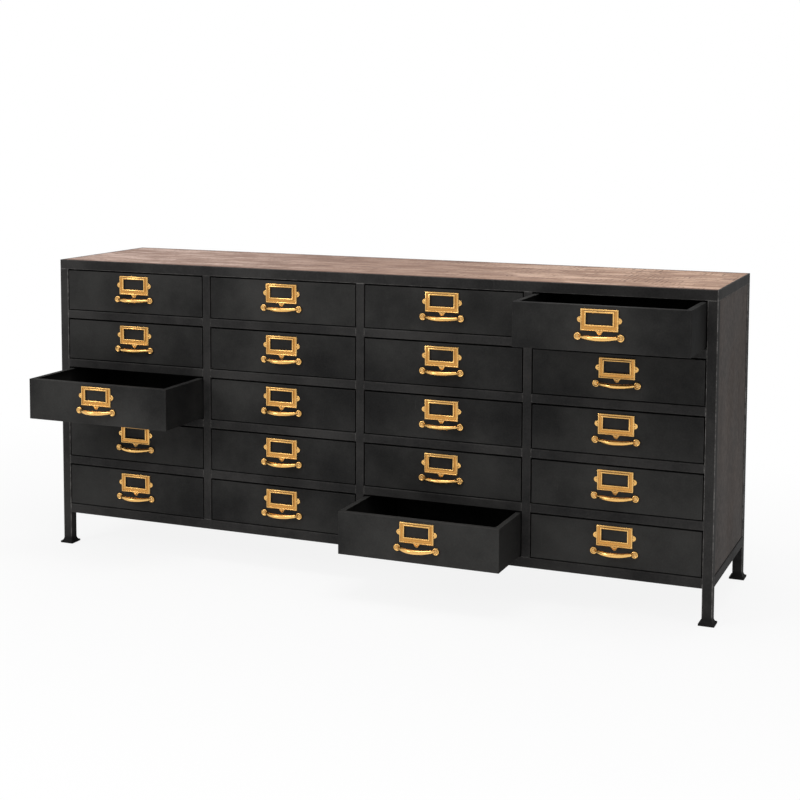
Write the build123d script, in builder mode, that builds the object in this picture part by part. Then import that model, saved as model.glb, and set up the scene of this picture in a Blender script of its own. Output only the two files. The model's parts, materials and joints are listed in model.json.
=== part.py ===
from build123d import *
import os
from math import pi, sin

# A floor-standing steel chest of twenty drawers with a board top set in an angle-iron frame.
# Sizes are in millimetres. The origin is on the floor, midway between the four posts.
# +X runs to the right of someone facing the drawers, +Y to the back and +Z up.

# Carcass
columns = 4
rows = 5
carcass_width = 1800.0
carcass_depth = 420.0
carcass_height = 790.0
leg_clearance = 87.0  # floor to the underside of the bottom rails
post_size = 25.0  # square tube of the posts and bottom rails, and the legs of the top angle
divider_width = 22.0  # face width of the uprights and rails between drawers
tube_wall = 2.0
tube_corner = 2.0
angle_thickness = 3.0  # top frame and cross bars
lip_round = 0.8  # top outer edge of the top frame

# Feet
foot_size = 41.0
foot_plate = 3.0
foot_flare = 11.0  # height of the collar between plate and post
foot_waist = 0.5  # height of the collar's middle section, as a share of the flare
foot_corner = 1.5
spigot_length = 20.0
spigot_gap = 0.3

# Sheet panels
sheet = 1.5
panel_recess = 2.0
panel_bend = 2.5
panel_flange = 15.0

# Top boards and their fixings
board_count = 4
board_gap = 1.0  # between boards and the frame's lip
board_seam = 0.8
board_edge = 1.0
cross_bar_width = 40.0
board_screw_radius = 2.0
board_screw_head_radius = 4.0
board_screw_head_height = 2.2
board_screw_bite = 14.0
pilot_gap = 0.1

# Drawers
front_setback = 1.0  # drawer front behind the face of the frame
drawer_back_space = 40.0  # behind a closed drawer, to the back of the frame
drawer_hold = 79.0  # depth of a drawer that stays in the frame when it is pulled out
side_gap = 2.5
top_gap = 4.0
bottom_gap = 2.5
drawer_bend = 1.2
rim_flange = 13.0
stop_tab_reach = 7.0
stop_tab_height = 20.0
stop_tab_rise = 50.0  # underside of the tab above the drawer's underside
drawer_open = {(3, 1): 186.0, (1, 4): 165.0, (5, 3): 162.0}  # by row and column, from the top left

# Drawer runners
running_gap = 0.3
guide_gap = 1.0
runner_width = 15.0
runner_height = 15.0
runner_lap = 12.0  # length lying on the front rail
runner_back_gap = 1.0

# Label holders
holder_width = 86.0
holder_height = 49.5
holder_drop = 9.0  # below the drawer's top edge
window_width = 63.5
window_height = 28.5
window_drop = 8.3  # below the holder's top edge
holder_base = 1.8
step_inset = 2.6
step_height = 1.2
bead_width = 3.2
bead_height = 1.4
holder_edge = 0.5
ear_radius = 9.5
lobe_radius = 8.2
ear_blend = 3.0
card_pocket_depth = 0.8
card_lap = 2.0  # overlap of the card behind the window's border
pin_reach = 4.2  # pin axis outside the holder's edge
pin_radius = 1.3
pin_head_radius = 2.6
pin_head_height = 1.5
pin_head_round = 1.1

# Bow pulls
pull_drop = 72.0  # below the drawer's top edge
lug_spacing = 100.0
lug_radius = 8.3
lug_height = 5.5
lug_round = 1.2
bow_reach = 24.0  # centre line of the bar in front of the drawer
bar_middle_radius = 5.4
bar_end_radius = 3.1
bar_end_inset = 3.5  # end of the bar's centre line inside the lug's axis
bar_end_reach = 3.4
bar_sections = 9
screw_radius = 1.6
screw_head_radius = 3.6
screw_slot_width = 1.0
screw_slot_depth = 0.8
screw_tail = 1.5  # length past the inside of the drawer's front
seat_gap = 0.05
hole_gap = 0.1

# Places worked out from the driving dimensions
half_width = carcass_width / 2
half_depth = carcass_depth / 2
top_under = carcass_height - post_size
bay_base = leg_clearance + post_size
bay_width = (carcass_width - 2 * post_size - (columns - 1) * divider_width) / columns
bay_height = (top_under - bay_base - (rows - 1) * divider_width) / rows
foot_height = foot_plate + foot_flare
clear_width = carcass_width - 2 * post_size
clear_depth = carcass_depth - 2 * post_size
bay_middle = (top_under + bay_base) / 2
drawer_depth = carcass_depth - front_setback - drawer_back_space
travel = drawer_depth - drawer_hold
frame_axis = half_depth - post_size / 2


def bay_left(column):
    """Left edge of a column of drawers, counted from 0 at the left."""
    return -half_width + post_size + column * (bay_width + divider_width)


def bay_floor(row):
    """Top of the rail under a row of drawers, counted from 0 at the top."""
    return top_under - (row + 1) * bay_height - row * divider_width


upright_centres = [bay_left(column) - divider_width / 2 for column in range(1, columns)]


def tube_section(width, height):
    """Draws the ring of a square tube at each current location."""
    RectangleRounded(width, height, tube_corner)
    Rectangle(width - 2 * tube_wall, height - 2 * tube_wall, mode=Mode.SUBTRACT)


def save(piece, name):
    """Labels a finished piece and writes it."""
    piece.label = name
    export_step(piece, f"parts/{name}.step")


os.makedirs("parts", exist_ok=True)

# Posts
post_places = {
    "front_left": (-1, -1),
    "front_right": (1, -1),
    "back_left": (-1, 1),
    "back_right": (1, 1),
}
post_axes = {
    corner: (side * (half_width - post_size / 2), end * frame_axis)
    for corner, (side, end) in post_places.items()
}
for corner, axis in post_axes.items():
    with BuildPart() as post:
        with BuildSketch(Plane.XY.offset(foot_height)):
            with Locations(axis):
                tube_section(post_size, post_size)
        extrude(amount=top_under - foot_height)
    save(post.part, f"post_{corner}")

# Feet: plate, hollow-sided collar and a spigot that fills the end of the post
foot_collar = foot_size - 2 * foot_corner
foot_waist_size = post_size + (foot_collar - post_size) * (1 - foot_waist) ** 2
collar_side = [
    (foot_collar / 2, foot_plate),
    (foot_waist_size / 2, foot_plate + foot_flare * foot_waist),
    (post_size / 2, foot_height),
]
with BuildPart() as foot:
    with BuildSketch(Plane.XZ) as collar_outline:
        with BuildLine():
            right_edge = ThreePointArc(*collar_side)
            left_edge = ThreePointArc(*[(-across, height) for across, height in collar_side])
            Line(right_edge @ 0, left_edge @ 0)
            Line(right_edge @ 1, left_edge @ 1)
        make_face()
    extrude(amount=foot_size / 2, both=True)
    with BuildSketch(Plane.YZ):
        add(collar_outline.sketch_local)
    extrude(amount=foot_size / 2, both=True, mode=Mode.INTERSECT)
    with BuildSketch():
        RectangleRounded(foot_size, foot_size, foot_corner)
    extrude(amount=foot_plate)
    with BuildSketch(Plane.XY.offset(foot_height)):
        Rectangle(post_size - 2 * tube_wall - 2 * spigot_gap, post_size - 2 * tube_wall - 2 * spigot_gap)
    extrude(amount=spigot_length)
with BuildPart() as foot_plates:
    with Locations(*[(x, y, 0) for x, y in post_axes.values()]):
        add(foot.part)
save(foot_plates.part, "foot_plates")

# Top frame: welded angle iron, open at the top for the boards
with BuildPart() as top_frame:
    with BuildSketch(Plane.XY.offset(top_under)):
        RectangleRounded(carcass_width, carcass_depth, tube_corner)
        Rectangle(clear_width, clear_depth, mode=Mode.SUBTRACT)
    extrude(amount=angle_thickness)
    with BuildSketch(Plane.XY.offset(top_under + angle_thickness)):
        RectangleRounded(carcass_width, carcass_depth, tube_corner)
        Rectangle(
            carcass_width - 2 * angle_thickness, carcass_depth - 2 * angle_thickness, mode=Mode.SUBTRACT
        )
    extrude(amount=post_size - angle_thickness)
    fillet(top_frame.faces().sort_by(Axis.Z)[-1].outer_wire().edges(), radius=lip_round)
save(top_frame.part, "top_frame")

# Boards, lying on the frame's inner leg and flush with its lip
board_length = carcass_width - 2 * (angle_thickness + board_gap)
board_width = (
    carcass_depth - 2 * (angle_thickness + board_gap) - (board_count - 1) * board_seam
) / board_count
board_pitch = board_width + board_seam
board_centres = [(index - (board_count - 1) / 2) * board_pitch for index in range(board_count)]
board_screw_points = [(x, y) for x in upright_centres for y in board_centres]
with BuildPart() as top_boards:
    with BuildSketch(Plane.XY.offset(top_under + angle_thickness)):
        with Locations(*[(0, y) for y in board_centres]):
            Rectangle(board_length, board_width)
    extrude(amount=post_size - angle_thickness)
    fillet(top_boards.faces().group_by(Axis.Z)[-1].edges(), radius=board_edge)
    with BuildSketch(Plane.XY.offset(top_under + angle_thickness)):
        with Locations(*board_screw_points):
            Circle(board_screw_radius + pilot_gap)
    extrude(amount=board_screw_bite + pilot_gap, mode=Mode.SUBTRACT)
save(top_boards.part, "top_boards")

# Cross bars under the boards, level with the frame's inner leg
with BuildPart() as top_cross_bars:
    with BuildSketch(Plane.XY.offset(top_under)):
        with Locations(*[(x, 0) for x in upright_centres]):
            Rectangle(cross_bar_width, clear_depth)
        with Locations(*board_screw_points):
            Circle(board_screw_radius + pilot_gap, mode=Mode.SUBTRACT)
    extrude(amount=angle_thickness)
save(top_cross_bars.part, "top_cross_bars")

# Screws up through the cross bars into the boards
with BuildPart() as board_screws:
    with BuildSketch(Plane.XY.offset(top_under)):
        with Locations(*board_screw_points):
            Circle(board_screw_radius)
    extrude(amount=angle_thickness + board_screw_bite)
    with BuildSketch(Plane.XY.offset(top_under)):
        with Locations(*board_screw_points):
            Circle(board_screw_head_radius)
    extrude(amount=-board_screw_head_height)
save(board_screws.part, "board_screws")

# Uprights between the columns of drawers
with BuildPart() as front_uprights:
    with BuildSketch(Plane.XY.offset(bay_base)):
        with Locations(*[(x, -frame_axis) for x in upright_centres]):
            tube_section(divider_width, post_size)
    extrude(amount=top_under - bay_base)
save(front_uprights.part, "front_uprights")

# Rails between the rows of drawers
with BuildPart() as drawer_rails:
    for column in range(columns):
        with BuildSketch(Plane.YZ.offset(bay_left(column))):
            with Locations(*[(-frame_axis, bay_floor(row) - divider_width / 2) for row in range(rows - 1)]):
                tube_section(post_size, divider_width)
        extrude(amount=bay_width)
save(drawer_rails.part, "drawer_rails")

# Bottom rails
for place, side in {"front": -1, "back": 1}.items():
    with BuildPart() as bottom_rail:
        with BuildSketch(Plane.YZ.offset(-clear_width / 2)):
            with Locations((side * frame_axis, leg_clearance + post_size / 2)):
                tube_section(post_size, post_size)
        extrude(amount=clear_width)
    save(bottom_rail.part, f"bottom_rail_{place}")

with BuildPart() as bottom_rails_side:
    with BuildSketch(Plane.XZ.offset(clear_depth / 2)):
        with Locations(*[
            (side * (half_width - post_size / 2), leg_clearance + post_size / 2) for side in (-1, 1)
        ]):
            tube_section(post_size, post_size)
    extrude(amount=-clear_depth)
save(bottom_rails_side.part, "bottom_rails_side")


def sheet_pan(face_plane, width):
    """Sheet panel with rounded bends and flanges turned inwards, which fills the frame's height."""
    with BuildPart() as pan:
        with BuildSketch(face_plane):
            Rectangle(width, top_under - bay_base)
        extrude(amount=-panel_flange)
        outward = Axis(face_plane.origin, face_plane.z_dir)
        fillet(pan.faces().sort_by(outward)[-1].edges(), radius=panel_bend)
        with BuildSketch(face_plane.offset(-sheet)):
            Rectangle(width - 2 * sheet, top_under - bay_base - 2 * sheet)
        extrude(amount=sheet - panel_flange, mode=Mode.SUBTRACT)
    return pan.part


# Side panels and back panel
for name, side in {"left": -1, "right": 1}.items():
    side_plane = Plane(
        origin=(side * (half_width - panel_recess), 0, bay_middle), x_dir=(0, side, 0), z_dir=(side, 0, 0)
    )
    save(sheet_pan(side_plane, clear_depth), f"side_panel_{name}")
back_plane = Plane(origin=(0, half_depth - panel_recess, bay_middle), x_dir=(-1, 0, 0), z_dir=(0, 1, 0))
save(sheet_pan(back_plane, clear_width), "back_panel")

# Bottom panel, between the bottom rails
with BuildPart() as bottom_panel:
    with BuildSketch(Plane.XY.offset(leg_clearance + panel_recess)):
        Rectangle(clear_width, clear_depth)
    extrude(amount=sheet)
save(bottom_panel.part, "bottom_panel")

# Back uprights, standing inside the back panel's flanges
with BuildPart() as back_uprights:
    with BuildSketch(Plane.XY.offset(bay_base + sheet)):
        with Locations(*[(x, half_depth - panel_recess - sheet - post_size / 2) for x in upright_centres]):
            tube_section(divider_width, post_size)
    extrude(amount=top_under - bay_base - 2 * sheet)
save(back_uprights.part, "back_uprights")

# Runners: a seat under the drawer's edge, a guide beside it and a stop turned up at the rear
runner_front = -half_depth + post_size - runner_lap
runner_length = half_depth - panel_recess - panel_flange - runner_back_gap - runner_front
rear_stop = front_setback + drawer_depth + running_gap - half_depth - runner_front
corner_align = (Align.MIN, Align.MIN)
with BuildPart() as left_runner:
    with BuildSketch(Plane.XZ):
        Rectangle(runner_width, bottom_gap - running_gap, align=corner_align)
        Rectangle(side_gap - guide_gap, runner_height, align=corner_align)
    extrude(amount=-runner_length)
    with BuildSketch(Plane.XZ.offset(-rear_stop)):
        Rectangle(runner_width, runner_height, align=corner_align)
    extrude(amount=-sheet)
right_runner = mirror(left_runner.part, about=Plane.YZ)
bays = [(row, column) for row in range(rows) for column in range(columns)]
with BuildPart() as drawer_runners:
    with Locations(*[(bay_left(column), runner_front, bay_floor(row)) for row, column in bays]):
        add(left_runner.part)
    with Locations(*[(bay_left(column) + bay_width, runner_front, bay_floor(row)) for row, column in bays]):
        add(right_runner)
save(drawer_runners.part, "drawer_runners")

# Drawer and its fittings are modelled once, with the front's face on Y = 0 and the underside on Z = 0
drawer_width = bay_width - 2 * side_gap
drawer_height = bay_height - top_gap - bottom_gap
holder_top = drawer_height - holder_drop
holder_middle = holder_top - holder_height / 2
holder_bottom = holder_top - holder_height
window_middle = holder_top - window_drop - window_height / 2
pull_height = drawer_height - pull_drop
pin_points = [
    (-holder_width / 2 - pin_reach, holder_middle),
    (holder_width / 2 + pin_reach, holder_middle),
    (0, holder_bottom - pin_reach),
]
screw_points = [(-lug_spacing / 2, pull_height), (lug_spacing / 2, pull_height)]

# Drawer tray: folded sheet with an inward rim, a stop tab on each side and holes for its fittings
stop_tab_place = post_size - front_setback + travel + running_gap
with BuildPart() as tray:
    with BuildSketch():
        with Locations((0, drawer_depth / 2)):
            Rectangle(drawer_width, drawer_depth)
    extrude(amount=drawer_height)
    front_border = tray.faces().sort_by(Axis.Y)[0].edges()
    fillet(front_border + tray.edges().filter_by(Axis.Y), radius=drawer_bend)
    with BuildSketch(Plane.XY.offset(sheet)):
        with Locations((0, drawer_depth / 2)):
            Rectangle(drawer_width - 2 * sheet, drawer_depth - 2 * sheet)
    extrude(amount=drawer_height - 2 * sheet, mode=Mode.SUBTRACT)
    with BuildSketch(Plane.XY.offset(drawer_height - sheet)):
        with Locations((0, drawer_depth / 2)):
            Rectangle(drawer_width - 2 * rim_flange, drawer_depth - 2 * rim_flange)
    extrude(amount=sheet, mode=Mode.SUBTRACT)
    with BuildSketch(Plane.XZ.offset(-stop_tab_place)):
        tab_middle = drawer_width / 2 + stop_tab_reach / 2 - sheet / 2
        with Locations(*[(side * tab_middle, stop_tab_rise + stop_tab_height / 2) for side in (-1, 1)]):
            Rectangle(stop_tab_reach + sheet, stop_tab_height)
    extrude(amount=-sheet)
    with BuildSketch(Plane.XZ):
        with Locations(*pin_points):
            Circle(pin_radius + hole_gap)
        with Locations(*screw_points):
            Circle(screw_radius + hole_gap)
    extrude(amount=-sheet, mode=Mode.SUBTRACT)

# Label holder: stepped frame with two ears and a lobe, hollowed behind for a card
with BuildPart() as label_holder:
    with BuildSketch(Plane.XZ) as outline:
        with Locations((0, holder_middle)):
            Rectangle(holder_width, holder_height)
        with Locations((-holder_width / 2, holder_middle), (holder_width / 2, holder_middle)):
            Circle(ear_radius)
        with Locations((0, holder_bottom)):
            Circle(lobe_radius)
        # The frame's own corners lie farthest out, so the rest are where ears and lobe meet the frame.
        fillet(outline.vertices().sort_by_distance((0, holder_middle))[:-4], radius=ear_blend)
    extrude(amount=holder_base)
    fillet(label_holder.faces().sort_by(Axis.Y)[0].edges(), radius=holder_edge)
    with BuildSketch(Plane.XZ.offset(holder_base)):
        with Locations((0, holder_middle)):
            Rectangle(holder_width - 2 * step_inset, holder_height - 2 * step_inset)
    extrude(amount=step_height)
    fillet(label_holder.faces().sort_by(Axis.Y)[0].edges(), radius=holder_edge)
    with BuildSketch(Plane.XZ.offset(holder_base + step_height)):
        with Locations((0, window_middle)):
            Rectangle(window_width + 2 * bead_width, window_height + 2 * bead_width)
    extrude(amount=bead_height)
    fillet(label_holder.faces().sort_by(Axis.Y)[0].edges(), radius=holder_edge)
    with BuildSketch(Plane.XZ):
        with Locations((0, window_middle)):
            Rectangle(window_width, window_height)
    extrude(amount=holder_base + step_height + bead_height, mode=Mode.SUBTRACT)
    with BuildSketch(Plane.XZ):
        with Locations((0, window_middle - window_height / 2 - card_lap)):
            Rectangle(window_width + 2 * card_lap, holder_height, align=(Align.CENTER, Align.MIN))
    extrude(amount=card_pocket_depth, mode=Mode.SUBTRACT)
    with BuildSketch(Plane.XZ):
        with Locations(*pin_points):
            Circle(pin_radius + hole_gap)
    extrude(amount=holder_base, mode=Mode.SUBTRACT)

# Holder pin, modelled at the origin with its head outwards
with BuildPart() as holder_pin:
    with BuildSketch(Plane.XZ.offset(holder_base + seat_gap)):
        Circle(pin_head_radius)
    extrude(amount=pin_head_height)
    fillet(holder_pin.faces().sort_by(Axis.Y)[0].edges(), radius=pin_head_round)
    with BuildSketch(Plane.XZ.offset(holder_base + seat_gap)):
        Circle(pin_radius)
    extrude(amount=-(holder_base + seat_gap + sheet + screw_tail))

# Bow pull: two round lugs and a bar that swells towards its middle
bar_end = lug_spacing / 2 - bar_end_inset
bow_line = ThreePointArc(
    (-bar_end, -bar_end_reach, pull_height), (0, -bow_reach, pull_height), (bar_end, -bar_end_reach, pull_height)
)
screw_head_depth = screw_head_radius - screw_radius
with BuildPart() as bow_pull:
    with BuildSketch(Plane.XZ):
        with Locations(*screw_points):
            Circle(lug_radius)
    extrude(amount=lug_height)
    fillet(bow_pull.faces().group_by(Axis.Y)[0].edges(), radius=lug_round)
    for index in range(bar_sections):
        along = index / (bar_sections - 1)
        swell = (bar_middle_radius - bar_end_radius) * sin(pi * along)
        with BuildSketch(Plane(origin=bow_line @ along, x_dir=(0, 0, 1), z_dir=bow_line % along)):
            Circle(bar_end_radius + swell)
    loft()
    with Locations(*[
        Location(Plane(origin=(x, -lug_height, z), x_dir=(1, 0, 0), z_dir=(0, -1, 0))) for x, z in screw_points
    ]):
        CounterSinkHole(
            radius=screw_radius + hole_gap,
            counter_sink_radius=screw_head_radius + hole_gap,
            depth=lug_height,
            counter_sink_angle=90,
        )

# Countersunk screw, modelled at the origin with its slot outwards
with BuildPart() as pull_screw:
    with BuildSketch(Plane.YZ):
        with BuildLine():
            Polyline(
                (-lug_height, 0),
                (-lug_height, screw_head_radius),
                (-lug_height + screw_head_depth, screw_radius),
                (sheet + screw_tail, screw_radius),
                (sheet + screw_tail, 0),
                close=True,
            )
        make_face()
    revolve(axis=Axis.Y)
    with BuildSketch(Plane.XZ.offset(lug_height)):
        Rectangle(2 * screw_head_radius, screw_slot_width)
    extrude(amount=-screw_slot_depth, mode=Mode.SUBTRACT)

# A drawer's fittings together: label holder, pins, bow pull and screws
with BuildPart() as fittings:
    add(label_holder.part)
    add(bow_pull.part)
    with Locations(*[(x, 0, z) for x, z in pin_points]):
        add(holder_pin.part)
    with Locations(*[(x, 0, z) for x, z in screw_points]):
        add(pull_screw.part)

# The twenty drawers, three of them partly open
for row, column in bays:
    opened = drawer_open.get((row + 1, column + 1), 0.0)
    place = Location((
        bay_left(column) + bay_width / 2,
        -half_depth + front_setback - opened,
        bay_floor(row) + bottom_gap,
    ))
    save(tray.part.moved(place), f"drawer_r{row + 1}c{column + 1}")
    save(fittings.part.moved(place), f"pull_r{row + 1}c{column + 1}")
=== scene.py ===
"""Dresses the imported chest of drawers: black steel frame, sawn board top, brass holders and pulls."""

import json
import logging
import math
from dataclasses import dataclass
from enum import Enum
from typing import Any, Callable, Iterable

import bpy
from mathutils import Matrix, Vector, noise

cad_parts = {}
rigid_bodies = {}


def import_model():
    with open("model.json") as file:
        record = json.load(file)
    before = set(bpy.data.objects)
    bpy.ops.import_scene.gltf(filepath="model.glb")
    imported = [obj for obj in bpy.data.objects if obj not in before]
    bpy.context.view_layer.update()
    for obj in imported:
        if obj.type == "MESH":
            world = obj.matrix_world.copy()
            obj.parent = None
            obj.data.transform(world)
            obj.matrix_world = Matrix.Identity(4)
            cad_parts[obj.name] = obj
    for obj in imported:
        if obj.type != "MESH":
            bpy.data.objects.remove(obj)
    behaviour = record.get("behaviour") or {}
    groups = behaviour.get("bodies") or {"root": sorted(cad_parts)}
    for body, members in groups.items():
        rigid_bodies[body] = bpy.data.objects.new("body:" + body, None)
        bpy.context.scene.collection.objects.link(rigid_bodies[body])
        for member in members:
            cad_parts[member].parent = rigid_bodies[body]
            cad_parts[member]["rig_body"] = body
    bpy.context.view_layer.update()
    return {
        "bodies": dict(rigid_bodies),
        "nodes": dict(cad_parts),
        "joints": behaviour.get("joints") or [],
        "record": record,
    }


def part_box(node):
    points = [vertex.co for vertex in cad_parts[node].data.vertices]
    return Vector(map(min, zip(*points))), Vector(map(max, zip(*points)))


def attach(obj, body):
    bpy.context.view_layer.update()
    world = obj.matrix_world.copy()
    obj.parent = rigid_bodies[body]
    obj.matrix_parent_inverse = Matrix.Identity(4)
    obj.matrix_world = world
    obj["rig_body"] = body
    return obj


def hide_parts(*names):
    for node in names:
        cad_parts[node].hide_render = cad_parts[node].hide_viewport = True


LOG = logging.getLogger("chest")
COLUMNS = 4
ROWS = 5
MERGE_REACH = 0.00005
HAIR = 0.00001
FACING_SHARE = 0.5
ARC_STEPS = 14
PLATE_ROUND_STEPS = 2
HANDLED = "handled"
WHITE = (1.0, 1.0, 1.0, 1.0)
Colour = tuple[float, float, float, float]
Point = tuple[float, float, float]
Spot = tuple[float, float]
Piece = bpy.types.Object
Socket = bpy.types.NodeSocket
Test = Callable[[Vector, Vector], bool]


class Facing(Enum):
    """Axis along which a round piece is turned."""

    OUT = (math.pi / 2, 0.0, 0.0)
    ACROSS = (0.0, math.pi / 2, 0.0)


class Handling(Enum):
    """How much hands have polished a piece of brass by rubbing it, from 0 to 1."""

    SHELTERED = 0.0
    TOUCHED = 0.5
    RUBBED = 0.85
    POLISHED = 1.0


# Tools for modelling


def clear_selection() -> None:
    """Leaves edit mode and deselects everything."""
    if bpy.context.mode != "OBJECT":
        bpy.ops.object.mode_set(mode="OBJECT")
    bpy.ops.object.select_all(action="DESELECT")


def take(piece: Piece) -> None:
    """Makes one object the only selected and active one."""
    clear_selection()
    piece.select_set(True)
    bpy.context.view_layer.objects.active = piece


def settle(piece: Piece) -> None:
    """Moves an object's place, turn and scale into its mesh."""
    take(piece)
    bpy.ops.object.transform_apply(location=True, rotation=True, scale=True)


def end_edit() -> None:
    """Goes back from edit mode to whole objects."""
    bpy.ops.object.mode_set(mode="OBJECT")


def block(name: str, low: Point, high: Point) -> Piece:
    """Adds a box between two corners.

    Args:
        name: Name of the new object.
        low: Lowest corner in metres.
        high: Highest corner in metres.

    Returns:
        The new object, at the origin with its place in its mesh.
    """
    clear_selection()
    middle = [(a + b) / 2 for a, b in zip(low, high)]
    bpy.ops.mesh.primitive_cube_add(size=1.0, location=middle)
    piece = bpy.context.active_object
    piece.name = name
    piece.scale = [b - a for a, b in zip(low, high)]
    settle(piece)
    return piece


def drum(name: str, centre: Point, radius: float, length: float, facing: Facing, sides: int) -> Piece:
    """Adds a round blank.

    Args:
        name: Name of the new object.
        centre: Middle of its axis in metres.
        radius: Radius in metres.
        length: Length along its axis in metres.
        facing: Direction of its axis.
        sides: Number of sides.

    Returns:
        The new object, at the origin with its place in its mesh.
    """
    clear_selection()
    bpy.ops.mesh.primitive_cylinder_add(
        vertices=sides, radius=radius, depth=length, location=centre, rotation=facing.value
    )
    piece = bpy.context.active_object
    piece.name = name
    settle(piece)
    return piece


def arc(centre: Spot, radius: float, start: float, end: float) -> list[Spot]:
    """Lists points along an arc.

    Args:
        centre: Centre of the arc.
        radius: Radius in metres.
        start: Angle of the first point in radians.
        end: Angle of the last point in radians.

    Returns:
        The points, both ends among them.
    """
    angles = (start + (end - start) * index / ARC_STEPS for index in range(ARC_STEPS + 1))
    return [(centre[0] + radius * math.cos(angle), centre[1] + radius * math.sin(angle)) for angle in angles]


def cut_plate(name: str, edges: list[list[Spot]], back: float, face: float, rounding: float) -> Piece:
    """Makes an upright plate with rounded edges from flat outlines.

    Args:
        name: Name of the new object.
        edges: The plate's edge and then its windows, which turn the other way, as places across and up.
        back: Distance of its back from the drawer's front.
        face: Distance of its face from the drawer's front.
        rounding: Radius of its edges.

    Returns:
        The plate as a mesh, at the origin with its place in its mesh.
    """
    flat = bpy.data.curves.new(name, "CURVE")
    flat.dimensions = "2D"
    flat.fill_mode = "BOTH"
    flat.extrude = (face - back) / 2 - rounding
    flat.bevel_depth = rounding
    flat.bevel_resolution = PLATE_ROUND_STEPS
    flat.offset = -rounding
    for edge in edges:
        line = flat.splines.new("POLY")
        line.points.add(len(edge) - 1)
        for point, (across, up) in zip(line.points, edge):
            point.co = (across, up, 0.0, 1.0)
        line.use_cyclic_u = True
    plate = bpy.data.objects.new(name, flat)
    bpy.context.scene.collection.objects.link(plate)
    plate.rotation_euler = Facing.OUT.value
    plate.location = (0.0, -(face + back) / 2, 0.0)
    take(plate)
    bpy.ops.object.convert(target="MESH")
    settle(plate)
    clean(plate)
    return plate


def start_selection(piece: Piece, kind: str) -> None:
    """Takes a piece and deselects all of its mesh.

    Args:
        piece: The piece.
        kind: Blender's name of what is selected next, FACE or EDGE.
    """
    take(piece)
    bpy.ops.object.mode_set(mode="EDIT")
    bpy.ops.mesh.select_mode(type=kind)
    bpy.ops.mesh.select_all(action="DESELECT")
    end_edit()


def select_faces(piece: Piece, test: Test) -> None:
    """Enters edit mode with some faces of a piece selected.

    Args:
        piece: The piece.
        test: Takes a face's centre and normal, and says whether it is selected.
    """
    start_selection(piece, "FACE")
    for face in piece.data.polygons:
        face.select = test(face.center, face.normal)
    bpy.ops.object.mode_set(mode="EDIT")


def select_edges(piece: Piece, test: Test) -> None:
    """Enters edit mode with some edges of a piece selected.

    Args:
        piece: The piece.
        test: Takes an edge's two ends, and says whether it is selected.
    """
    start_selection(piece, "EDGE")
    points = piece.data.vertices
    for edge in piece.data.edges:
        edge.select = test(points[edge.vertices[0]].co, points[edge.vertices[1]].co)
    bpy.ops.object.mode_set(mode="EDIT")


def with_modifier(piece: Piece, kind: str, **settings: Any) -> None:
    """Adds a modifier to a piece and applies it.

    Args:
        piece: The piece.
        kind: Blender's name of the modifier type.
        settings: Properties of the modifier.
    """
    take(piece)
    modifier = piece.modifiers.new(kind.title(), kind)
    for key, value in settings.items():
        setattr(modifier, key, value)
    bpy.ops.object.modifier_apply(modifier=modifier.name)


def cut_away(piece: Piece, other: Piece) -> None:
    """Cuts another solid out of a piece and removes the other."""
    with_modifier(piece, "BOOLEAN", operation="DIFFERENCE", solver="EXACT", object=other)
    bpy.data.objects.remove(other)


def soften(piece: Piece, width: float, segments: int, degrees: float) -> None:
    """Rounds the sharp edges of a piece.

    Args:
        piece: The piece.
        width: Width of the rounding in metres.
        segments: Number of facets across it.
        degrees: Angle between faces above which their edge is rounded.
    """
    with_modifier(
        piece,
        "BEVEL",
        width=width,
        segments=segments,
        limit_method="ANGLE",
        angle_limit=math.radians(degrees),
        harden_normals=False,
        miter_outer="MITER_ARC",
    )


def smooth(piece: Piece, degrees: float) -> None:
    """Shades a piece smooth, with edges kept where faces meet at more than an angle."""
    take(piece)
    bpy.ops.object.shade_smooth_by_angle(angle=math.radians(degrees))


def even_shading(piece: Piece, degrees: float) -> None:
    """Shades a piece smooth with its flat faces kept flat, up to bends of an angle."""
    smooth(piece, degrees)
    with_modifier(piece, "WEIGHTED_NORMAL", keep_sharp=True)


def clean(piece: Piece) -> None:
    """Merges points that lie together and points all faces outwards."""
    take(piece)
    bpy.ops.object.mode_set(mode="EDIT")
    bpy.ops.mesh.select_all(action="SELECT")
    bpy.ops.mesh.remove_doubles(threshold=MERGE_REACH)
    bpy.ops.mesh.normals_make_consistent(inside=False)
    end_edit()


def reshape(piece: Piece, move: Callable[[Vector], Vector]) -> None:
    """Moves every point of a piece's mesh."""
    for point in piece.data.vertices:
        point.co = move(point.co)
    piece.data.update()


def mark_handled(piece: Piece, handling: Handling) -> None:
    """Notes on every point of a piece how much hands have polished it by rubbing."""
    values = piece.data.attributes.new(HANDLED, "FLOAT", "POINT")
    values.data.foreach_set("value", [handling.value] * len(piece.data.vertices))


def join(pieces: Iterable[Piece], name: str) -> Piece:
    """Joins pieces into one object with one mesh.

    Args:
        pieces: The objects to join.
        name: Name of the result.

    Returns:
        The joined object.
    """
    listed = list(pieces)
    take(listed[0])
    for piece in listed[1:]:
        piece.select_set(True)
    bpy.ops.object.join()
    whole = bpy.context.active_object
    whole.name = name
    whole.data.name = name
    return whole


def paint(piece: Piece, material: bpy.types.Material) -> None:
    """Gives a piece one material in place of those it has."""
    piece.data.materials.clear()
    piece.data.materials.append(material)


# Tools for materials


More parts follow.
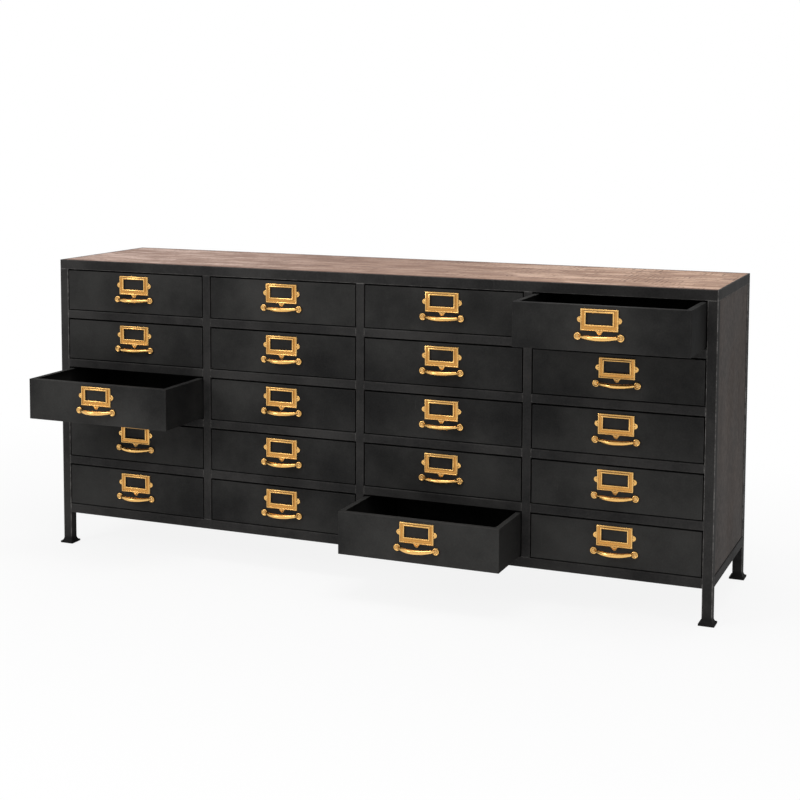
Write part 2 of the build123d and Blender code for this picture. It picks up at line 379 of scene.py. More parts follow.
class Bench:
    """Adds nodes to one node tree and links them."""

    MIX_INPUTS = (0, 6, 7)
    MIX_RESULT = 2

    def __init__(self, tree: bpy.types.NodeTree) -> None:
        """Takes the tree that the nodes go into."""
        self.tree = tree

    def feed(self, socket: Socket, value: Any) -> None:
        """Links a socket to another, or sets its value."""
        if isinstance(value, Socket):
            self.tree.links.new(value, socket)
        else:
            socket.default_value = value

    def node(self, kind: str, settings: dict[str, Any] | None = None, **inputs: Any) -> bpy.types.Node:
        """Adds a node.

        Args:
            kind: Blender's name of the node type.
            settings: Properties of the node.
            inputs: Values or sockets by input name, with spaces written as underscores.

        Returns:
            The new node.
        """
        made = self.tree.nodes.new(kind)
        for key, value in (settings or {}).items():
            setattr(made, key, value)
        for key, value in inputs.items():
            self.feed(made.inputs[key.replace("_", " ")], value)
        return made

    def maths(self, operation: str, first: Any, second: Any = 0.0, clamp: bool = False) -> Socket:
        """Adds a math node.

        Args:
            operation: Blender's name of the operation.
            first: First value or socket.
            second: Second value or socket.
            clamp: Whether the result is kept between 0 and 1.

        Returns:
            The result.
        """
        made = self.node("ShaderNodeMath", {"operation": operation, "use_clamp": clamp})
        self.feed(made.inputs[0], first)
        self.feed(made.inputs[1], second)
        return made.outputs[0]

    def plus(self, first: Any, second: Any, clamp: bool = False) -> Socket:
        """Returns the sum of two values."""
        return self.maths("ADD", first, second, clamp)

    def less(self, first: Any, second: Any, clamp: bool = False) -> Socket:
        """Returns the first value less the second."""
        return self.maths("SUBTRACT", first, second, clamp)

    def times(self, first: Any, second: Any, clamp: bool = False) -> Socket:
        """Returns the product of two values."""
        return self.maths("MULTIPLY", first, second, clamp)

    def mingle(self, first: Any, second: Any, share: float) -> Socket:
        """Returns a mean of two values, with a share of the second."""
        return self.plus(self.times(first, 1.0 - share), self.times(second, share))

    def vectors(self, operation: str, *values: Any) -> Any:
        """Adds a vector math node.

        Args:
            operation: Blender's name of the operation.
            values: Vectors or sockets that it works on.

        Returns:
            The node's outputs.
        """
        made = self.node("ShaderNodeVectorMath", {"operation": operation})
        for socket, value in zip(made.inputs, values):
            self.feed(socket, value)
        return made.outputs

    def axes(self, vector: Any) -> Any:
        """Splits a vector and returns its X, Y and Z outputs."""
        return self.node("ShaderNodeSeparateXYZ", None, Vector=vector).outputs

    def blend(self, factor: Any, first: Any, second: Any, mode: str = "MIX") -> Socket:
        """Mixes two colours.

        Args:
            factor: Share of the second colour.
            first: First colour or socket.
            second: Second colour or socket.
            mode: Blender's name of the way they mix.

        Returns:
            The mixed colour.
        """
        made = self.node("ShaderNodeMix", {"data_type": "RGBA", "blend_type": mode})
        for index, value in zip(self.MIX_INPUTS, (factor, first, second)):
            self.feed(made.inputs[index], value)
        return made.outputs[self.MIX_RESULT]

    def spread(
        self, value: Any, low: float, high: float, to_low: float = 0.0, to_high: float = 1.0
    ) -> Socket:
        """Maps a range of values to another, with soft ends.

        Args:
            value: The value.
            low: Start of its range.
            high: End of its range.
            to_low: Result at the start.
            to_high: Result at the end.

        Returns:
            The result.
        """
        made = self.node("ShaderNodeMapRange", {"interpolation_type": "SMOOTHSTEP"})
        for socket, setting in zip(made.inputs, (value, low, high, to_low, to_high)):
            self.feed(socket, setting)
        return made.outputs[0]

    def grain(self, vector: Any, scale: Any, detail: float, roughness: float) -> Socket:
        """Adds a noise texture.

        Args:
            vector: Place that it is read at.
            scale: Number of features in a metre.
            detail: Number of finer layers.
            roughness: Strength of the finer layers.

        Returns:
            Its value.
        """
        settings = {"Vector": vector, "Scale": scale, "Detail": detail, "Roughness": roughness}
        return self.node("ShaderNodeTexNoise", None, **settings).outputs[0]

    def spot(self) -> Socket:
        """Returns object coordinates."""
        return self.node("ShaderNodeTexCoord").outputs["Object"]

    def normal(self) -> Socket:
        """Returns the direction that the surface faces."""
        return self.node("ShaderNodeNewGeometry").outputs["Normal"]

    def place(self, scale: Point, offset: Any) -> Socket:
        """Returns object coordinates, moved and then stretched."""
        return self.vectors("MULTIPLY", self.vectors("ADD", self.spot(), offset)[0], scale)[0]

    def turned(self, turn: Point, scale: Point) -> Socket:
        """Returns object coordinates, stretched and then turned."""
        return self.node("ShaderNodeMapping", None, Vector=self.spot(), Rotation=turn, Scale=scale).outputs[0]

    def emboss(self, shader: bpy.types.Node, height: Socket, strength: float, depth: float) -> None:
        """Gives a shader a fine relief."""
        relief = self.node("ShaderNodeBump", None, Strength=strength, Distance=depth, Height=height)
        self.feed(shader.inputs["Normal"], relief.outputs[0])


class Effects:
    """Node groups for surface effects that several finishes share."""

    CLOUD_RANGE = (0.30, 0.70)
    SPECK_RANGE = (0.35, 0.68)
    EDGE_SAMPLES = 6
    CHIP_SCALE = 55.0
    CHIP_RANGE = (0.40, 0.62)
    WIPE_TURN = (0.35, 0.5, 0.25)
    WIPE_STRETCH = (1.0, 1.0, 0.16)
    WIPE_RANGE = (0.35, 0.70)
    HAIRLINE_TURN = (0.2, -0.7, 0.4)
    HAIRLINE_STRETCH = (12.0, 12.0, 0.5)
    HAIRLINES_PER_WIPE = 4.0
    HAIRLINE_RANGE = (0.70, 0.78)

    def __init__(self) -> None:
        """Builds each group once."""
        self.mottle = self._mottle()
        self.wear_and_highlight = self._wear_and_highlight()
        self.scuffs = self._scuffs()

    @staticmethod
    def _group(name: str, inputs: dict[str, float], outputs: tuple[str, ...]) -> tuple[Bench, Any, Any]:
        """Starts a group with named number sockets.

        Args:
            name: Name of the group.
            inputs: Default value by input name.
            outputs: Names of the outputs.

        Returns:
            The group's bench, its input node's sockets and its output node's sockets.
        """
        tree = bpy.data.node_groups.new(name, "ShaderNodeTree")
        for label, value in inputs.items():
            socket = tree.interface.new_socket(label, in_out="INPUT", socket_type="NodeSocketFloat")
            socket.default_value = value
        for label in outputs:
            tree.interface.new_socket(label, in_out="OUTPUT", socket_type="NodeSocketFloat")
        start = tree.nodes.new("NodeGroupInput")
        end = tree.nodes.new("NodeGroupOutput")
        return Bench(tree), start.outputs, end.inputs

    def _mottle(self) -> bpy.types.NodeTree:
        """Builds uneven tone: broad clouds and fine specks."""
        settings = {"Scale": 6.0, "Speck Scale": 160.0}
        bench, start, end = self._group("Mottle", settings, ("Clouds", "Specks"))
        broad = bench.grain(bench.spot(), start["Scale"], detail=6.0, roughness=0.62)
        fine = bench.grain(bench.spot(), start["Speck Scale"], detail=3.0, roughness=0.7)
        bench.feed(end["Clouds"], bench.spread(broad, *self.CLOUD_RANGE))
        bench.feed(end["Specks"], bench.spread(fine, *self.SPECK_RANGE))
        return bench.tree

    def _wear_and_highlight(self) -> bpy.types.NodeTree:
        """Builds masks of edges lightened partly by rubbing and partly as painted highlight, and of painted
        highlights on the rounded corners of upright tube, broken up by noise.
        """
        settings = {"Radius": 0.002, "Gain": 6.0, "Highlight Gain": 2.6, "Breakup": 0.7}
        bench, start, end = self._group("Rubbed Edges And Highlights", settings, ("Mask", "Corner Highlights"))
        normal = bench.normal()
        rounded_over = bench.node("ShaderNodeBevel", {"samples": self.EDGE_SAMPLES}, Radius=start["Radius"])
        likeness = bench.vectors("DOT_PRODUCT", rounded_over.outputs[0], normal)["Value"]
        sharp = bench.times(bench.less(1.0, likeness), start["Gain"], clamp=True)
        leaning = bench.axes(bench.vectors("ABSOLUTE", normal)[0])
        slant = bench.times(leaning["X"], leaning["Y"])
        rounded = bench.times(slant, start["Highlight Gain"], clamp=True)
        chips = bench.grain(bench.spot(), self.CHIP_SCALE, detail=5.0, roughness=0.7)
        held = bench.times(start["Breakup"], bench.less(1.0, bench.spread(chips, *self.CHIP_RANGE)))
        left = bench.less(1.0, held)
        bench.feed(end["Mask"], bench.times(sharp, left, clamp=True))
        bench.feed(end["Corner Highlights"], bench.times(rounded, left, clamp=True))
        return bench.tree

    def _scuffs(self) -> bpy.types.NodeTree:
        """Builds masks of faint wipe marks and hairline scratches."""
        bench, start, end = self._group("Scuffs", {"Scale": 9.0}, ("Wipes", "Hairlines"))
        wiped = bench.turned(self.WIPE_TURN, self.WIPE_STRETCH)
        wipes = bench.grain(wiped, start["Scale"], detail=4.0, roughness=0.6)
        scratched = bench.turned(self.HAIRLINE_TURN, self.HAIRLINE_STRETCH)
        close = bench.times(start["Scale"], self.HAIRLINES_PER_WIPE)
        hairlines = bench.grain(scratched, close, detail=2.0, roughness=0.5)
        bench.feed(end["Wipes"], bench.spread(wipes, *self.WIPE_RANGE))
        bench.feed(end["Hairlines"], bench.spread(hairlines, *self.HAIRLINE_RANGE))
        return bench.tree

    @staticmethod
    def use(bench: Bench, group: bpy.types.NodeTree, **inputs: float) -> Any:
        """Places a group in a material.

        Args:
            bench: The material's bench.
            group: The group.
            inputs: Values by input name, with spaces written as underscores.

        Returns:
            The placed group's outputs.
        """
        made = bench.tree.nodes.new("ShaderNodeGroup")
        made.node_tree = group
        for key, value in inputs.items():
            made.inputs[key.replace("_", " ")].default_value = value
        return made.outputs


def new_material(name: str, colour: Colour) -> tuple[bpy.types.Material, Bench, bpy.types.Node]:
    """Starts a material.

    Args:
        name: Name of the material.
        colour: Flat colour for the viewport.

    Returns:
        The material, its bench and its Principled shader.
    """
    material = bpy.data.materials.new(name)
    material.use_nodes = True
    material.diffuse_color = colour
    bench = Bench(material.node_tree)
    return material, bench, material.node_tree.nodes["Principled BSDF"]


@dataclass(frozen=True)
class SteelFinish:
    """Painted or patinated steel: mottled tone, wipe marks, edges and post corners lightened by rubbing and
    as painted highlights, painted shade on sideways faces and near the floor, and a satin sheen.
    """

    name: str
    dark: Colour
    light: Colour
    rub_and_highlight: Colour
    cloud_scale: float
    speck_scale: float
    speck_share: float
    smooth_roughness: float
    dull_roughness: float
    rub_radius: float
    rub_share: float
    specular: float
    bump: float
    bump_depth: float = 0.0004
    wipe_scale: float = 7.0
    wipe_share: float = 0.5
    scratch_share: float = 0.08
    gloss_range: Spot = (0.1, 0.9)
    edge_gain: float = 7.0
    edge_breakup: float = 0.75
    # Painted highlights: their share on the rounded corners of upright tube, and how far out from the middle
    # a post must lie to get them.
    corner_highlight: float = 0.0
    highlight_from: float = 0.0
    # Painted shade near the floor: its share and the height over which it fades out.
    floor_painted_shade: float = 0.0
    floor_reach: float = 0.024
    # Painted shade on faces that face left or right: the range of leaning over which it comes in, and the
    # tone that it leaves.
    side_range: Spot = (0.3, 0.8)
    sideways_shade: float = 1.0

    def build(self, effects: Effects) -> bpy.types.Material:
        """Builds the material.

        Args:
            effects: The shared effects.

        Returns:
            The material.
        """
        material, bench, shader = new_material(self.name, self.dark)
        tone = effects.use(bench, effects.mottle, Scale=self.cloud_scale, Speck_Scale=self.speck_scale)
        marks = effects.use(bench, effects.scuffs, Scale=self.wipe_scale)
        mottled = bench.mingle(tone["Clouds"], tone["Specks"], self.speck_share)
        coat = bench.blend(mottled, self.dark, self.light)
        scratched = bench.blend(bench.times(marks["Hairlines"], self.scratch_share), coat, self.rub_and_highlight)
        # Rubbing, painted highlights and painted shade near the floor change the coat's tone.
        tone_change = self._rubs_highlights_and_shade(bench, effects, scratched)
        # The coat is multiplied by painted shade on faces that face left or right.
        bench.feed(shader.inputs["Base Color"], bench.blend(1.0, tone_change, self._painted_side_shade(bench), "MULTIPLY"))
        gloss = bench.mingle(tone["Clouds"], marks["Wipes"], self.wipe_share)
        rough = bench.spread(gloss, *self.gloss_range, self.smooth_roughness, self.dull_roughness)
        bench.feed(shader.inputs["Roughness"], rough)
        shader.inputs["Specular IOR Level"].default_value = self.specular
        bench.emboss(shader, tone["Specks"], self.bump, self.bump_depth)
        return material

    def _rubs_highlights_and_shade(self, bench: Bench, effects: Effects, coat: Socket) -> Socket:
        """Lightens the coat on edges, partly by rubbing and partly as painted highlight, paints highlights on
        the rounded corners of the outer posts, and paints shade near the floor.

        Args:
            bench: The material's bench.
            effects: The shared effects.
            coat: Colour of the whole coat.

        Returns:
            Colour of the coat with its rubbing, painted highlights and painted shade near the floor.
        """
        at = bench.axes(bench.spot())
        off_floor = bench.spread(at["Z"], self.floor_reach / 2, self.floor_reach)
        settings = {"Radius": self.rub_radius, "Gain": self.edge_gain, "Breakup": self.edge_breakup}
        edges = effects.use(bench, effects.wear_and_highlight, **settings)
        # Painted highlights go on the rounded corners of the outer posts only; edges get lighter partly by
        # rubbing and partly as painted highlight.
        outer = bench.maths("GREATER_THAN", bench.maths("ABSOLUTE", at["X"]), self.highlight_from)
        corners = bench.times(edges["Corner Highlights"], bench.times(outer, self.corner_highlight))
        rubs_and_highlights = bench.maths("MAXIMUM", bench.times(edges["Mask"], self.rub_share), corners)
        rub_and_highlight = bench.blend(bench.times(rubs_and_highlights, off_floor), coat, self.rub_and_highlight)
        # Painted shade darkens the coat near the floor.
        painted_floor_shade = bench.times(bench.less(1.0, off_floor), self.floor_painted_shade)
        return bench.blend(painted_floor_shade, rub_and_highlight, self.dark)

    def _painted_side_shade(self, bench: Bench) -> Socket:
        """Returns painted shade: the tone of a face, which is darker where it faces left or right."""
        sideways = bench.maths("ABSOLUTE", bench.axes(bench.normal())["X"])
        return bench.spread(sideways, *self.side_range, 1.0, self.sideways_shade)


@dataclass(frozen=True)
class BrassFinish:
    """Aged cast brass: bright where it is polished by rubbing, with painted highlights on its edges, and dark
    brown in its corners from patina and painted shade.
    """

    name: str
    bright: Colour
    warm: Colour
    tarnish_and_shade: Colour
    edge: Colour
    smooth_roughness: float
    dull_roughness: float
    cloud_scale: float = 45.0
    speck_scale: float = 420.0
    speck_share: float = 0.35
    grime_share: float = 0.30
    corner_reach: float = 0.0036
    corner_range: Spot = (0.40, 0.97)
    corner_samples: int = 6
    edge_reach: float = 0.0012
    edge_gain: float = 8.0
    edge_breakup: float = 0.30
    edge_share: float = 0.85
    bump: float = 0.06
    bump_depth: float = 0.0003

    def build(self, effects: Effects) -> bpy.types.Material:
        """Builds the material.

        Args:
            effects: The shared effects.

        Returns:
            The material.
        """
        material, bench, shader = new_material(self.name, self.bright)
        tone = effects.use(bench, effects.mottle, Scale=self.cloud_scale, Speck_Scale=self.speck_scale)
        settings = {"Radius": self.edge_reach, "Gain": self.edge_gain, "Breakup": self.edge_breakup}
        edges = effects.use(bench, effects.wear_and_highlight, **settings)
        sampling = {"samples": self.corner_samples}
        # The cavity mask darkens the brass in its hollows and beside raised parts and the drawer's front:
        # partly patina, partly painted shade.
        cavity = bench.node("ShaderNodeAmbientOcclusion", sampling, Distance=self.corner_reach)
        open_sky = bench.spread(cavity.outputs["AO"], *self.corner_range)
        held = bench.node("ShaderNodeAttribute", {"attribute_name": HANDLED}).outputs["Fac"]
        grime = bench.times(tone["Clouds"], self.grime_share)
        metal = bench.blend(bench.less(held, grime, clamp=True), self.warm, self.bright)
        tarnished_and_shaded = bench.blend(open_sky, self.tarnish_and_shade, metal)
        # Edges are lightened partly by rubbing and partly as painted highlight.
        rub_and_highlight = bench.blend(bench.times(edges["Mask"], self.edge_share), tarnished_and_shaded, self.edge)
        bench.feed(shader.inputs["Base Color"], rub_and_highlight)
        shader.inputs["Metallic"].default_value = 1.0
        gloss = bench.mingle(tone["Clouds"], tone["Specks"], self.speck_share)
        rough = bench.spread(gloss, 0.0, 1.0, self.smooth_roughness, self.dull_roughness)
        bench.feed(shader.inputs["Roughness"], rough)
        bench.emboss(shader, tone["Specks"], self.bump, self.bump_depth)
        return material


@dataclass(frozen=True)
class Figure:
    """A figure of the wood: noise that is stretched along the boards, and the range of it that shows."""

    stretch: Point
    detail: float
    roughness: float
    begins: float
    full: float
    share: float = 1.0
    least: float = 0.0

    def noise(self, bench: Bench, offset: Socket) -> Socket:
        """Returns the bare noise, read from another place on each board."""
        return bench.grain(bench.place(self.stretch, offset), 1.0, self.detail, self.roughness)

    def shown(self, bench: Bench, value: Socket) -> Socket:
        """Returns how much of the figure shows at a value of its noise."""
        return bench.spread(value, self.begins, self.full, self.least, self.share)

    def mask(self, bench: Bench, offset: Socket) -> Socket:
        """Returns where the figure shows."""
        return self.shown(bench, self.noise(bench, offset))


@dataclass(frozen=True)
class BoardFinish:
    """Dry sawn plank: long grain, blade marks across it, and tone that changes from board to board."""

    name: str
    pale: Colour
    mid: Colour
    brown: Colour
    dark: Colour
    # Colour of the painted shade along the boards' front edge.
    front_shade: Colour
    warm_tint: Colour
    middle_tint: Colour
    pitch: float
    first_edge: float
    front: float
    half_length: float
    # A darker tint towards the middle of the top: its centre, reach and share.
    middle_centre: float = -0.03
    middle_reach: float = 0.63
    middle_share: float = 0.90
    # Painted shade along the boards' front edge, where they meet the frame: its reach and share.
    front_shade_reach: Spot = (0.005, 0.025)
    front_shade_share: float = 0.90
    board_seed: float = 3.7
    board_shift: float = 9.0
    board_share: float = 0.25
    rings: Figure = Figure((1.5, 24.0, 24.0), 5.0, 0.62, begins=0.36, full=0.62)
    patches: Figure = Figure((8.0, 17.0, 17.0), 4.0, 0.60, begins=0.44, full=0.60, share=0.64)
    fibres: Figure = Figure((6.0, 190.0, 190.0), 4.0, 0.65, begins=0.47, full=0.68, share=0.70)
    streaks: Figure = Figure((4.5, 62.0, 62.0), 3.0, 0.60, begins=0.54, full=0.62, share=0.85)
    flecks: Figure = Figure((58.0, 84.0, 84.0), 3.0, 0.65, begins=0.56, full=0.64, share=0.72)
    pores: Figure = Figure((36.0, 560.0, 560.0), 2.0, 0.50, begins=0.62, full=0.74, share=0.55)
    sawn: Figure = Figure((6.0, 11.0, 0.0), 3.0, 0.60, begins=0.53, full=0.62)
    strokes: Figure = Figure((64.0, 7.0, 0.0), 2.0, 0.50, begins=0.42, full=0.62, least=0.15)
    sawn_to_right: float = 0.06
    blade_stretch: Point = (1.0, 0.16, 0.0)
    blade_scale: float = 26.0
    blade_wander: float = 4.2
    blade_detail: float = 2.0
    blade_detail_scale: float = 0.7
    blade_range: Spot = (0.62, 0.92)
    saw_share: float = 0.70
    rough_range: Spot = (0.3, 0.7)
    smooth_roughness: float = 0.55
    dull_roughness: float = 0.80
    specular: float = 0.12
    fibre_height: float = 0.45
    ring_height: float = 0.25
    saw_depth: float = 0.8
    bump: float = 0.55
    bump_depth: float = 0.0009

    def build(self) -> bpy.types.Material:
        """Builds the material, with the boards told apart by their place across the top."""
        material, bench, shader = new_material(self.name, self.mid)
        at = bench.axes(bench.spot())
        board = bench.maths("FLOOR", bench.maths("DIVIDE", bench.less(at["Y"], self.first_edge), self.pitch))
        seed = bench.plus(board, self.board_seed)
        chance = bench.node("ShaderNodeTexWhiteNoise", {"noise_dimensions": "1D"}, W=seed).outputs
        offset = bench.vectors("MULTIPLY", chance["Color"], (self.board_shift,) * 3)[0]
        to_right = bench.spread(at["X"], -self.half_length, self.half_length)
        rings = self.rings.noise(bench, offset)
        fibres = self.fibres.noise(bench, offset)
        saw = self._saw(bench, offset, to_right)

        ground = bench.blend(self.rings.shown(bench, rings), self.pale, self.mid)
        toned = bench.blend(self.patches.mask(bench, offset), ground, self.brown)
        # The wood is multiplied by a darker tint towards the middle of the top, fading out to the ends.
        from_middle = bench.maths("ABSOLUTE", bench.less(at["X"], self.middle_centre))
        tone_change = bench.spread(from_middle, 0.0, self.middle_reach, self.middle_share, 0.0)
        middle_toned = bench.blend(tone_change, toned, self.middle_tint, "MULTIPLY")
        each = bench.blend(bench.times(chance["Value"], self.board_share), middle_toned, self.brown)
        warmed = bench.blend(to_right, each, self.warm_tint, "MULTIPLY")
        wood = bench.blend(self.fibres.shown(bench, fibres), warmed, self.brown)
        for figure, tint in ((self.streaks, self.brown), (self.flecks, self.brown), (self.pores, self.dark)):
            wood = bench.blend(figure.mask(bench, offset), wood, tint)
        sawed = bench.blend(bench.times(saw, self.saw_share), wood, self.dark)
        # Painted shade: the wood darkens along its front edge, where the boards meet the frame.
        at_front = bench.spread(bench.less(at["Y"], self.front), *self.front_shade_reach, self.front_shade_share, 0.0)
        bench.feed(shader.inputs["Base Color"], bench.blend(at_front, sawed, self.front_shade))

        rough = bench.spread(fibres, *self.rough_range, self.smooth_roughness, self.dull_roughness)
        bench.feed(shader.inputs["Roughness"], rough)
        shader.inputs["Specular IOR Level"].default_value = self.specular
        height = bench.plus(bench.times(fibres, self.fibre_height), bench.times(rings, self.ring_height))
        bench.emboss(shader, bench.less(height, bench.times(saw, self.saw_depth)), self.bump, self.bump_depth)
        return material

    def _saw(self, bench: Bench, offset: Socket, to_right: Socket) -> Socket:
        """Draws the blade's marks: bands across the boards, in patches that are commoner to the right.

        Args:
            bench: The material's bench.
            offset: Move of the pattern on each board.
            to_right: Share of the way from the left end to the right.

        Returns:
            Mask of the marks.
        """
        blade = bench.node(
            "ShaderNodeTexWave",
            {"wave_type": "BANDS", "bands_direction": "X"},
            Vector=bench.place(self.blade_stretch, offset),
            Scale=self.blade_scale,
            Distortion=self.blade_wander,
            Detail=self.blade_detail,
            Detail_Scale=self.blade_detail_scale,
        )
        often = bench.plus(self.sawn.noise(bench, offset), bench.times(to_right, self.sawn_to_right))
        strong = bench.times(self.sawn.shown(bench, often), self.strokes.mask(bench, offset))
        return bench.times(bench.spread(blade.outputs["Fac"], *self.blade_range), strong)


class Finishes:
    """All the materials of the chest, built once."""

    def __init__(self, boards: "BoardTop") -> None:
        """Builds the shared effects and then each finish."""
        effects = Effects()
        self.frame = SteelFinish(
            name="frame_paint",
            dark=(0.0215, 0.0212, 0.0214, 1.0),
            light=(0.0540, 0.0522, 0.0508, 1.0),
            rub_and_highlight=(0.300, 0.287, 0.275, 1.0),
            cloud_scale=5.0,
            speck_scale=190.0,
            speck_share=0.22,
            smooth_roughness=0.48,
            dull_roughness=0.66,
            rub_radius=0.0036,
            rub_share=0.75,
            specular=0.010,
            bump=0.10,
            edge_gain=2.5,
            corner_highlight=0.80,
            highlight_from=0.87,
            floor_painted_shade=0.90,
            sideways_shade=0.80,
        ).build(effects)
        self.drawer = SteelFinish(
            name="drawer_paint",
            dark=(0.0165, 0.0164, 0.0166, 1.0),
            light=(0.0560, 0.0550, 0.0530, 1.0),
            rub_and_highlight=(0.150, 0.143, 0.137, 1.0),
            cloud_scale=2.7,
            speck_scale=230.0,
            speck_share=0.12,
            smooth_roughness=0.46,
            dull_roughness=0.64,
            rub_radius=0.0024,
            rub_share=0.55,
            specular=0.006,
            bump=0.08,
            sideways_shade=0.55,
        ).build(effects)
        self.panel = SteelFinish(
            name="panel_patina",
            dark=(0.0190, 0.0157, 0.0143, 1.0),
            light=(0.0850, 0.0705, 0.0630, 1.0),
            rub_and_highlight=(0.170, 0.148, 0.134, 1.0),
            cloud_scale=4.6,
            speck_scale=75.0,
            speck_share=0.34,
            smooth_roughness=0.55,
            dull_roughness=0.72,
            rub_radius=0.0026,
            rub_share=0.50,
            specular=0.03,
            bump=0.10,
        ).build(effects)
        self.zinc = SteelFinish(
            name="screws",
            dark=(0.30, 0.30, 0.31, 1.0),
            light=(0.46, 0.46, 0.47, 1.0),
            rub_and_highlight=(0.60, 0.60, 0.60, 1.0),
            cloud_scale=60.0,
            speck_scale=500.0,
            speck_share=0.4,
            smooth_roughness=0.30,
            dull_roughness=0.45,
            rub_radius=0.0008,
            rub_share=0.3,
            specular=0.5,
            bump=0.05,
        ).build(effects)
        self.brass = BrassFinish(
            name="brass",
            bright=(1.0, 0.605, 0.205, 1.0),
            warm=(0.66, 0.325, 0.082, 1.0),
            tarnish_and_shade=(0.070, 0.024, 0.005, 1.0),
            edge=(1.0, 0.720, 0.340, 1.0),
            smooth_roughness=0.18,
            dull_roughness=0.36,
        ).build(effects)
        self.boards = BoardFinish(
            name="boards",
            pale=(0.780, 0.597, 0.518, 1.0),
            mid=(0.560, 0.400, 0.332, 1.0),
            brown=(0.260, 0.160, 0.122, 1.0),
            dark=(0.085, 0.044, 0.030, 1.0),
            front_shade=(0.080, 0.035, 0.022, 1.0),
            warm_tint=(1.000, 0.915, 0.790, 1.0),
            middle_tint=(0.590, 0.545, 0.520, 1.0),
            pitch=boards.pitch,
            first_edge=boards.first_edge,
            front=boards.low.y,
            half_length=boards.high.x,
        ).build()


@dataclass
class Carcass:
    """The fixed frame, panels and runners, whose solids stay and take their finishes."""

    frame: dict[str, Any]
    panels: tuple[str, ...] = ("side_panel_left", "side_panel_right", "back_panel", "bottom_panel")
    screws: str = "board_screws"

    def dress(self, finishes: Finishes) -> None:
        """Paints every node of the fixed body.

        Args:
            finishes: The chest's materials.
        """
        for name in self.frame["record"]["behaviour"]["bodies"]["carcass"]:
            node = self.frame["nodes"][name]
            if name in self.panels:
                paint(node, finishes.panel)
            elif name == self.screws:
                paint(node, finishes.zinc)
            else:
                paint(node, finishes.frame)
            LOG.info("dressed %s", name)


@dataclass(frozen=True)
class Ripple:
    """Unevenness of a sawn face, in waves to the metre along and across the boards."""

    along: float
    across: float
    step: float
    start: float
    share: float

    def at(self, spot: Vector, board: int) -> float:
        """Returns the rise at a place on a board, up to the ripple's share."""
        seed = board * self.step + self.start
        return self.share * noise.noise(Vector((spot.x * self.along, spot.y * self.across, seed)))


@dataclass
class BoardTop:
    """The sawn boards that lie in the top frame."""

    count: int = 4
    seam: float = 0.0008
    arris: float = 0.0012
    arris_steps: int = 3
    length_cuts: int = 150
    width_cuts: int = 7
    dip: float = 0.0007
    mean_dip: float = 0.5
    broad: Ripple = Ripple(along=3.1, across=14.0, step=7.3, start=0.0, share=0.32)
    close: Ripple = Ripple(along=23.0, across=60.0, step=3.1, start=40.0, share=0.18)

    def __post_init__(self) -> None:
        """Reads the space of the boards from their solid."""
        self.low, self.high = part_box("top_boards")
        self.pitch = (self.high.y - self.low.y + self.seam) / self.count
        self.first_edge = self.low.y - self.seam / 2

    def _plank(self, index: int) -> Piece:
        """Models one board with eased arrises and a slightly uneven sawn face.

        Args:
            index: Place of the board, from the front.

        Returns:
            The board.
        """
        front = self.low.y + index * self.pitch
        back = front + self.pitch - self.seam
        plank = block(f"plank_{index}", (self.low.x, front, self.low.z), (self.high.x, back, self.high.z))
        face = self.high.z - HAIR
        select_edges(plank, lambda a, b: a.z > face and b.z > face)
        bpy.ops.mesh.bevel(offset=self.arris, segments=self.arris_steps, affect="EDGES")
        end_edit()
        select_edges(plank, lambda a, b: abs(a.x - b.x) > self.pitch)
        bpy.ops.mesh.subdivide(number_cuts=self.length_cuts)
        end_edit()
        select_edges(plank, lambda a, b: abs(a.y - b.y) > self.pitch / 2 and abs(a.x - b.x) < HAIR)
        bpy.ops.mesh.subdivide(number_cuts=self.width_cuts)
        end_edit()
        reshape(plank, lambda spot: self._uneven(spot, index))
        smooth(plank, degrees=50.0)
        return plank

    def _uneven(self, spot: Vector, index: int) -> Vector:
        """Lowers a point of the face a little, as sawn and handled wood wears down.

        Args:
            spot: The point.
            index: Place of its board, from the front.

        Returns:
            Its new place.
        """
        if spot.z < self.high.z - 2 * self.arris:
            return spot
        drop = self.dip * (self.mean_dip + self.broad.at(spot, index) + self.close.at(spot, index))
        return Vector((spot.x, spot.y, spot.z - max(drop, 0.0)))

    def build(self, finishes: Finishes) -> None:
        """Models the boards as one piece that stands for their plain solid.

        Args:
            finishes: The chest's materials.
        """
        top = join([self._plank(index) for index in range(self.count)], "sawn_boards")
        paint(top, finishes.boards)
        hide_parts("top_boards")
        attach(top, "carcass")
        LOG.info("built %s", top.name)


